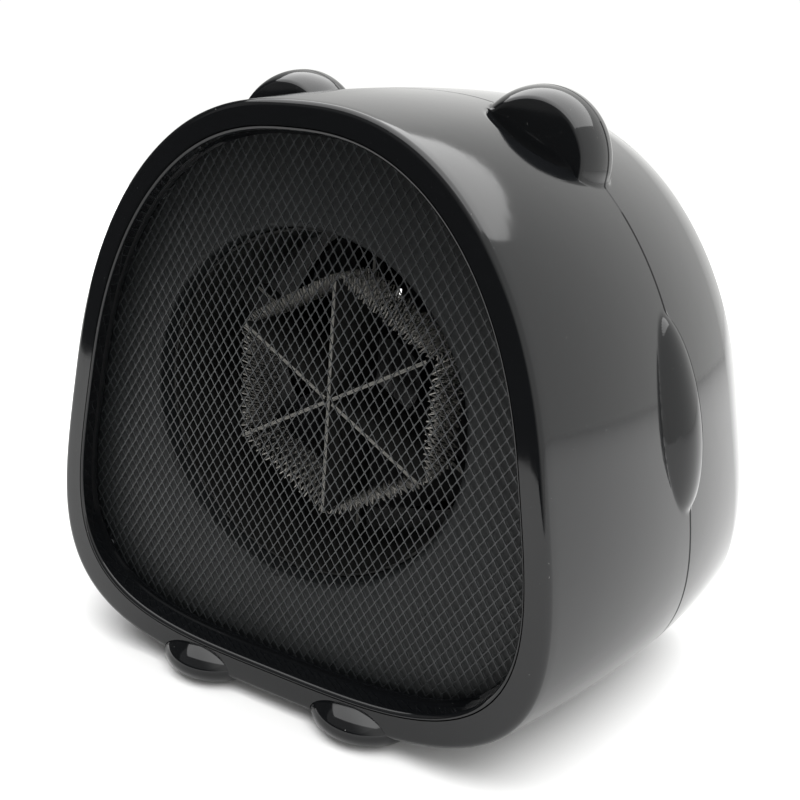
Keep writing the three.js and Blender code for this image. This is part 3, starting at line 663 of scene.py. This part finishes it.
def front_feet():
    """Each foot, and the casing cut to take it."""
    coarse = spaced_angles(lambda x, z: 2.0 + 0 * x)
    for side, label in ((-1, "left"), (1, "right")):
        foot = make("front_foot_%s_skin" % label, *foot_egg(side), "gloss_black")
        under = prism(round_box(60, 20, 1, side * FRONT_FOOT["x"], -AXIS_Z - 10), -30, 60)
        carve(foot, [under, prism(outline_at(6, WALL, coarse), FOOT_BACK, 40)])
        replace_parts(foot, "front_foot_" + label)
        seat = tool(*foot_egg(side, SEAT_SLACK))
        kept = prism(outline_at(6, WALL + SEAT_SLACK, coarse), FOOT_BACK + SEAT_SLACK, 40)
        carve(seat, [kept])
        carve(front, [seat])


front_feet()


# ---- back features ---------------------------------------------------------------------
def body_tool(inset):
    """The whole body's outer shape, shrunk by an inset, to trim what is added behind the skin."""
    coarse = spaced_angles(lambda x, z: 1.6 + 0 * x)
    rings = []
    crown = (112, 113.5, 115, 116, 117, 117.6, 117.9)
    for depth in [*spaced(PARTING, 82, 4), *spaced(84, 110, 2), *crown]:
        rings.append(ring(outline_at(depth, inset, coarse), min(depth, BODY_DEPTH - inset)))
    return capped(rings)


def backed(points, faces):
    """A block behind the skin that a pocket is cut into."""
    block = tool(points, faces)
    carve(block, [body_tool(0.05)], "INTERSECT")
    return block


def air_slots():
    """Cutters for the rows of slots, each row as long as the round field allows."""
    cutters = []
    for row in range(-4, 5):
        z = row * SLOT_PITCH
        half = math.sqrt(SLOT_RADIUS**2 - z**2)
        for side in (-1, 1):
            middle = side * (half / 2 + 1.2)
            outline = round_box(half, SLOT_HEIGHT, SLOT_HEIGHT / 2 - 0.01, middle, z)
            cutters.append(prism(outline, 104, 125))
    return join(cutters)


def plug(radius, low, high, x, z, count=48):
    """A round bar along the depth axis."""
    return spun([(0, low), (radius, low), (radius, high), (0, high)], x, z, count)


def finish_rear():
    """Pockets for the switch and the gland, screw posts, bores and air slots."""
    start, beyond = PARTING + GAP / 2, BODY_DEPTH + 5
    switch, gland = SWITCH, GLAND
    at_switch, at_gland = (switch["x"], switch["z"]), (gland["x"], gland["z"])
    rim = round_box(switch["wide"] + 5, switch["tall"] + 5, 4, *at_switch)
    reach = gland["flange"] + 0.7
    blocks = [backed(*prism(rim, switch["seat"] - WALL, BODY_DEPTH))]
    blocks.append(backed(*plug(reach + 2, gland["seat"] - WALL, BODY_DEPTH, *at_gland)))
    for x, z in CASE_SCREWS:
        blocks.append(backed(*plug(4.4, start + 0.2, BODY_DEPTH, x, z)))
    carve(rear, blocks, "UNION")
    pocket = round_box(switch["wide"] + 1, switch["tall"] + 1, 2.2, *at_switch)
    hole = round_box(switch["width"] + 2 * GAP, switch["height"] + 2 * GAP, 0.8, *at_switch)
    cutters = [air_slots(), prism(pocket, switch["seat"], beyond)]
    cutters.append(prism(hole, 90, switch["seat"] + 1))
    cutters.append(plug(reach, gland["seat"], beyond, *at_gland))
    cutters.append(plug(gland["radius"] + GAP, 90, 112, *at_gland))
    for x, z in CASE_SCREWS:
        cutters.append(plug(3.1, start + 5, beyond, x, z, 40))
        cutters.append(plug(1.8, start - 1, start + 6, x, z, 24))
    carve(rear, cutters)


def rear_feet():
    """Soft pads with rounded rims, each under a short round boss of the casing."""
    foot = REAR_FOOT
    floor, top, radius = -AXIS_Z, foot["height"] - AXIS_Z, foot["radius"]
    groove = [(radius - 2.0, floor + 0.25), (radius - 1.6, floor + 0.25)]
    profile = [
        (0, floor), (radius - 2.2, floor), *groove,
        (radius - 1.4, floor), (radius - 0.7, floor), (radius - 0.2, floor + 0.2),
        (radius, floor + 0.7), (radius, top - 0.3), (radius - 0.3, top), (0, top),
    ]
    bosses = []
    for side, label in ((-1, "left"), (1, "right")):
        x = side * foot["x"]
        shape = spun(profile, x, foot["depth"], 64, upright=True)
        pad = make("rear_pad_" + label, *shape, "rubber")
        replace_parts(pad, "rear_foot_" + label)
        low, high = top + GAP, top + GAP + 6.5
        rim = radius + 1
        boss = [(0, low), (rim - 0.5, low), (rim, low + 0.5), (rim, high), (0, high)]
        bosses.append(spun(boss, x, foot["depth"], 64, upright=True))
    carve(rear, bosses, "UNION")


rear_feet()
finish_rear()


def cord_gland():
    """A ribbed, tapered gland with a flange in its pocket."""
    bore, neck, flange, seat = (GLAND[key] for key in ("bore", "radius", "flange", "seat"))
    end = TOTAL_DEPTH - FOOT_NOSE
    profile = [(bore, 98.2), (bore + 0.2, 98), (neck, 98), (neck, seat + GAP)]
    profile += [(flange - 0.4, seat + GAP), (flange, seat + GAP + 0.4)]
    profile += [(flange, seat + 2.2), (flange - 0.8, seat + 3), (neck + 0.4, seat + 3)]
    first, ribs = seat + 4, 6
    pitch = (end - first - 0.6) / ribs
    for k in range(ribs):
        depth = first + k * pitch
        radius = neck - 0.6 * (depth - first) / (end - first)
        profile += [(radius - 0.45, depth), (radius - 0.45, depth + pitch * 0.35)]
        profile += [(radius, depth + pitch * 0.45), (radius, depth + pitch * 0.9)]
    tip = neck - 0.6
    profile += [(tip, end - 0.4), (tip - 0.3, end), (bore + 0.3, end), (bore, end - 0.3)]
    return spun(profile, GLAND["x"], GLAND["z"], 72)


gland = make("cord_gland_skin", *cord_gland(), "rubber")
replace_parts(gland, "cord_gland")


def switch_body():
    """The switch's flange and barrel with rounded corners, open where the rocker tips."""
    seat, x, z = SWITCH["seat"], SWITCH["x"], SWITCH["z"]
    width, height = SWITCH["width"], SWITCH["height"]
    rim = round_box(SWITCH["wide"], SWITCH["tall"], 1.6, x, z)
    flange = prism(rim, seat + GAP, seat + GAP + 1.6, 0.35)
    made = make("switch_body_skin", *flange, "switch_black")
    barrel = prism(round_box(width, height, 0.6, x, z), seat - 13, seat + 1)
    blades = [prism(round_box(0.8, 4.8, 0.2, at, z), seat - 20, seat - 12) for at in (-6, 6)]
    carve(made, [barrel, *blades], "UNION")
    well = round_box(2 * ROCKER_REACH + 1, height - 3, 0.5, x, z)
    carve(made, [prism(well, ROCKER_PIVOT - 6, seat + 5)])
    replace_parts(made, "rocker_switch_body")


def switch_rocker():
    """The rocker: arcs about its pivot at both ends and a shallow vee of two dished pads."""
    low, high, lean, peak = -22, 32, -10, 3.4
    reach = ROCKER_REACH
    arc = [math.radians(a) for a in np.linspace(low, high, 16)]
    outline = [(0.0, -peak)] + [(reach * math.cos(a), reach * math.sin(a)) for a in arc]
    tip_x, tip_y = outline[-1]
    for share in np.linspace(0, 1, 14)[1:]:
        dish = 0.35 * math.sin(math.pi * share)
        outline.append((tip_x * (1 - share), tip_y + (peak - tip_y) * share - dish))
    outline += [(-x, y) for x, y in reversed(outline[1:-1])]
    turn = math.radians(lean)
    half, bevel = (SWITCH["height"] - 4.2) / 2, 0.45
    rings = []
    for level, inset in ((-half, bevel), (-half + bevel, 0), (half - bevel, 0), (half, bevel)):
        scale = 1 - inset / reach
        rings.append([])
        for x, y in outline:
            across = scale * (x * math.cos(turn) - y * math.sin(turn))
            along = scale * (x * math.sin(turn) + y * math.cos(turn))
            rings[-1].append((SWITCH["x"] + across, ROCKER_PIVOT + along, SWITCH["z"] + level))
    points, faces = capped(rings)
    made = make("switch_rocker_skin", points, faces, "switch_black", body="rocker", angle=35)
    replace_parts(made, "rocker_switch_rocker")


switch_body()
switch_rocker()


# ---- outlet mesh -----------------------------------------------------------------------
MESH_WIDE = 2.35
MESH_TALL = 3.62


def outlet_mesh():
    """Expanded metal: rhombic nodes joined by four thin strands each, thinnest half way."""
    side, rise, lean, thick, waist = 0.16, 0.33, 0.07, 0.28, 0.075
    middle = MESH_DEPTH + 0.32
    columns = int(62 / (MESH_WIDE / 2))
    rows = int(62 / (MESH_TALL / 2))
    limit = outline_at(MESH_DEPTH, BEZEL - 1.2, np.linspace(0, TAU, 721)[:-1])
    order = np.argsort(np.arctan2(limit[:, 1], limit[:, 0]))
    polar = np.arctan2(limit[:, 1], limit[:, 0])[order]
    reach = np.linalg.norm(limit, axis=1)[order]
    points, faces, index = [], [], {}
    for j in range(-rows, rows + 1):
        for i in range(-columns, columns + 1):
            x, z = i * MESH_WIDE / 2, j * MESH_TALL / 2
            edge = np.interp(math.atan2(z, x), polar, reach, period=TAU)
            if (i + j) % 2 or math.hypot(x, z) > edge:
                continue
            index[i, j] = len(points)
            corners = [(x, -lean, z + rise), (x + side, 0, z)]
            corners += [(x, lean, z - rise), (x - side, 0, z)]
            for back in (0, thick):
                points.extend((cx, middle + shift + back, cz) for cx, shift, cz in corners)
    top, right, bottom, left = range(4)

    def join_up(a, first, second, b, third, fourth, across):
        """A strand from side (first, second) of node a to side (third, fourth) of node b."""
        ends = (a + first, a + second), (b + third, b + fourth)
        centre = np.sum([points[v] for pair in ends for v in pair], axis=0) / 4
        m = len(points)
        for back in (0, thick):
            for sign in (1, -1):
                shift = np.array([sign * across[0], back, sign * across[1]])
                points.append(tuple(centre + shift))
        for near, far in ((ends[0], (m + 1, m)), ((m, m + 1), ends[1])):
            n1, n2 = near
            f1, f2 = far
            back = [v + (4 if v < m else 2) for v in (n1, n2, f1, f2)]
            faces.append((n1, n2, f1, f2))
            faces.append((back[1], back[0], back[3], back[2]))
            faces.append((n1, f2, back[3], back[0]))
            faces.append((f1, n2, back[1], back[2]))

    slope = math.hypot(MESH_WIDE, MESH_TALL)
    for (i, j), a in index.items():
        faces.append((a + top, a + left, a + bottom, a + right))
        faces.append((a + 4 + right, a + 4 + bottom, a + 4 + left, a + 4 + top))
        upward = ((1, top, right, bottom, left), (-1, left, top, right, bottom))
        for step, first, second, third, fourth in upward:
            b = index.get((i + step, j + 1))
            if b is None:
                faces.append((a + first, a + second, a + 4 + second, a + 4 + first))
                continue
            across = (-waist * MESH_TALL / slope, step * waist * MESH_WIDE / slope)
            join_up(a, first, second, b, third, fourth, across)
        for step, first, second in ((1, right, bottom), (-1, bottom, left)):
            if (i + step, j - 1) not in index:
                faces.append((a + first, a + second, a + 4 + second, a + 4 + first))
    return points, faces


mesh = make("outlet_mesh", *outlet_mesh(), "mesh", angle=20)
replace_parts(mesh, "mesh_grille")


# ---- duct ------------------------------------------------------------------------------
def outlet_duct():
    """The plate behind the mesh, drawn into a round sleeve with a flange at its end."""
    edge = outline_at(PLATE_DEPTH, WALL + GAP, ANGLES)
    unit = edge / np.linalg.norm(edge, axis=1)[:, None]
    back = PLATE_DEPTH + PLATE_THICK
    rolled = 1.4
    rings = [ring(edge * 0.999, back), ring(edge, back - 0.1)]
    rings += [ring(edge, PLATE_DEPTH + 0.1), ring(edge * 0.999, PLATE_DEPTH)]
    for k in range(7):
        a = math.radians(90 * k / 6)
        radius = DUCT_RADIUS + rolled * (1 - math.sin(a))
        rings.append(ring(unit * radius, PLATE_DEPTH + rolled * (1 - math.cos(a))))
    outer = DUCT_RADIUS + DUCT_WALL
    for radius, depth in (
        (DUCT_RADIUS, 30), (DUCT_RADIUS, DUCT_END - 1), (DUCT_RADIUS + 0.4, DUCT_END),
        (DUCT_FLANGE_RADIUS - 0.3, DUCT_END), (DUCT_FLANGE_RADIUS, DUCT_END - 0.3),
        (DUCT_FLANGE_RADIUS, DUCT_END - 0.9), (DUCT_FLANGE_RADIUS - 0.3, DUCT_END - 1.2),
        (outer, DUCT_END - 1.2), (outer, 30), (outer, back),
    ):
        rings.append(ring(unit * radius, depth))
    return loft(rings)


duct = make("outlet_duct_skin", *outlet_duct(), "duct")
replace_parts(duct, "outlet_duct")

liner_outer = DUCT_RADIUS - GAP
liner_inner = liner_outer - LINER_THICK
liner_profile = [
    (liner_inner + 0.1, 12), (liner_inner, 12.1), (liner_inner, 27),
    (liner_inner, 41.9), (liner_inner + 0.1, 42),
    (liner_outer - 0.1, 42), (liner_outer, 41.9), (liner_outer, 27),
    (liner_outer, 12.1), (liner_outer - 0.1, 12),
]
liner = make("mica_liner_skin", *spun(liner_profile, count=180), "mica")
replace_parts(liner, "mica_liner")


# ---- fan -------------------------------------------------------------------------------
def fan_blade(turn, stations=14, across=10):
    """One twisted blade with rounded edges, from inside the hub to the rim."""
    rings = []
    for k in range(stations):
        share = k / (stations - 1)
        radius = 8.5 + (FAN_RADIUS - 8.5) * share
        pitch = math.radians(48 - 21 * share)
        chord = 10.5 + 15.0 * share**0.8
        thick = 1.3 - 0.5 * share
        section = []
        for i in range(2 * across):
            a = TAU * i / (2 * across)
            u = chord / 2 * math.cos(a)
            v = thick / 2 * math.sin(a) + 0.9 * (1 - math.cos(a) ** 2) - 0.45
            side = u * math.cos(pitch) - v * math.sin(pitch)
            along = u * math.sin(pitch) + v * math.cos(pitch)
            reach = math.sqrt(max(radius**2 - side**2, 1))
            x = reach * math.cos(turn) - side * math.sin(turn)
            z = reach * math.sin(turn) + side * math.cos(turn)
            section.append((x, FAN_DEPTH + FAN_WIDTH / 2 + along, z))
        rings.append(section)
    return capped(rings)


def fan():
    """The hub, rounded in front and open behind for the shaft, with its blades."""
    end = FAN_DEPTH + FAN_WIDTH
    bore = 1.3
    hub = [
        (0.0, FAN_DEPTH), (8.6, FAN_DEPTH + 0.1), (9.9, FAN_DEPTH + 0.6),
        (HUB_RADIUS, FAN_DEPTH + 1.8), (HUB_RADIUS, end - 0.4),
        (HUB_RADIUS - 0.4, end), (bore, end),
    ]
    made = make("fan_skin", *spun(hub, count=64), "fan", body="fan", angle=35)
    carve(made, [fan_blade((i + 0.5) * TAU / BLADES) for i in range(BLADES)], "UNION", angle=35)
    return made


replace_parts(fan(), "fan_impeller")


# ---- element ---------------------------------------------------------------------------
def wavy_wire():
    """Wire bent in waves and wound from board tip to board tip, a little deeper each turn."""
    waves, per_wave, sides, radius = 18, 6, 5, 0.2
    amplitude = 1.25
    total = WIRE_TURNS * 6
    steps = waves * per_wave
    line = []
    for k in range(total * steps + 1):
        corner = k / steps
        last = min(int(corner), total - 1)
        share = corner - last
        ends = []
        for step in (last, last + 1):
            a = math.radians(30 + 60 * step)
            ends.append((WIRE_RADIUS * math.cos(a), WIRE_RADIUS * math.sin(a)))
        (x0, z0), (x1, z1) = ends
        x, z = x0 + (x1 - x0) * share, z0 + (z1 - z0) * share
        fade = min(1, 12 * min(share, 1 - share))
        push = amplitude * fade * math.sin(TAU * waves * share)
        r = math.hypot(x, z)
        depth = ELEMENT_DEPTH + 1.4 + corner / 6 * WIRE_PITCH
        sway = 0.45 * fade * math.sin(TAU * waves * share * 2)
        line.append((x * (1 + push / r), depth + sway, z * (1 + push / r)))
    line = np.array(line)
    tangent = np.gradient(line, axis=0)
    tangent /= np.linalg.norm(tangent, axis=1)[:, None]
    along = np.array([0.0, 1.0, 0.0])
    u = np.cross(tangent, along)
    u /= np.linalg.norm(u, axis=1)[:, None]
    v = np.cross(tangent, u)
    turns = [TAU * i / sides for i in range(sides)]
    rings = []
    for p, a, b in zip(line, u, v):
        rings.append([tuple(p + radius * (math.cos(t) * a + math.sin(t) * b)) for t in turns])
    return capped(rings)


wire = make("resistance_wire", *wavy_wire(), "wire", angle=60)
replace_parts(wire, "heating_wire")

# The CAD nodes that still show get the same procedural materials.
for name, node in frame["nodes"].items():
    if node.hide_render:
        continue
    slot = next(s["material_slot"] for s in frame["record"]["subparts"] if s["node"] == name)
    node.data.materials.clear()
    node.data.materials.append(MATERIALS[slot])


# ---- floor and light -------------------------------------------------------------------
def make_floor():
    """A pale floor that stops a little ahead of the heater, out of the camera's sight."""
    left, right, near, far = -0.9, 1.6, -0.25, 1.8
    corners = [(left, near, 0), (right, near, 0), (right, far, 0), (left, far, 0)]
    data = bpy.data.meshes.new("floor")
    data.from_pydata(corners, [], [(0, 1, 2, 3)])
    made = bpy.data.objects.new("floor", data)
    bpy.context.scene.collection.objects.link(made)
    data.materials.append(material("floor_paint", (0.88, 0.88, 0.88), 0.95))


def area_light(name, place_at, aim, size, power):
    data = bpy.data.lights.new(name, "AREA")
    data.shape = "RECTANGLE"
    data.size = size
    data.size_y = size
    data.energy = power
    made = bpy.data.objects.new(name, data)
    made.location = place_at
    direction = Vector(aim) - Vector(place_at)
    made.rotation_euler = direction.to_track_quat("-Z", "Y").to_euler()
    bpy.context.scene.collection.objects.link(made)


def make_world():
    """A soft studio: bright behind and to the right, dark ahead, and white as a backdrop."""
    world = bpy.data.worlds.new("studio")
    bpy.context.scene.world = world
    world.use_nodes = True
    nodes, links = world.node_tree.nodes, world.node_tree.links
    coords = nodes.new("ShaderNodeTexCoord")
    dot = nodes.new("ShaderNodeVectorMath")
    dot.operation = "DOT_PRODUCT"
    dot.inputs[1].default_value = (0.84, 0.50, 0.22)
    shade = nodes.new("ShaderNodeMapRange")
    shade.interpolation_type = "SMOOTHSTEP"
    shade.inputs["From Min"].default_value = -0.35
    shade.inputs["From Max"].default_value = 0.35
    shade.inputs["To Min"].default_value = 0.10
    shade.inputs["To Max"].default_value = 1.3
    ray = nodes.new("ShaderNodeLightPath")
    mix = nodes.new("ShaderNodeMix")
    mix.inputs["B"].default_value = 1.03
    links.new(coords.outputs["Generated"], dot.inputs[0])
    links.new(dot.outputs["Value"], shade.inputs["Value"])
    links.new(ray.outputs["Is Camera Ray"], mix.inputs["Factor"])
    links.new(shade.outputs["Result"], mix.inputs["A"])
    links.new(mix.outputs["Result"], nodes["Background"].inputs["Strength"])
    nodes["Background"].inputs["Color"].default_value = (1.0, 1.0, 0.985, 1)


make_floor()
make_world()
area_light("overhead", (0.0, 0.1, 1.2), (0, 0.05, 0), 2.2, 42)
area_light("front_fill", (-0.3, -1.2, 1.4), (0, 0, 0), 3.0, 9)
bpy.context.scene.view_settings.view_transform = "Standard"
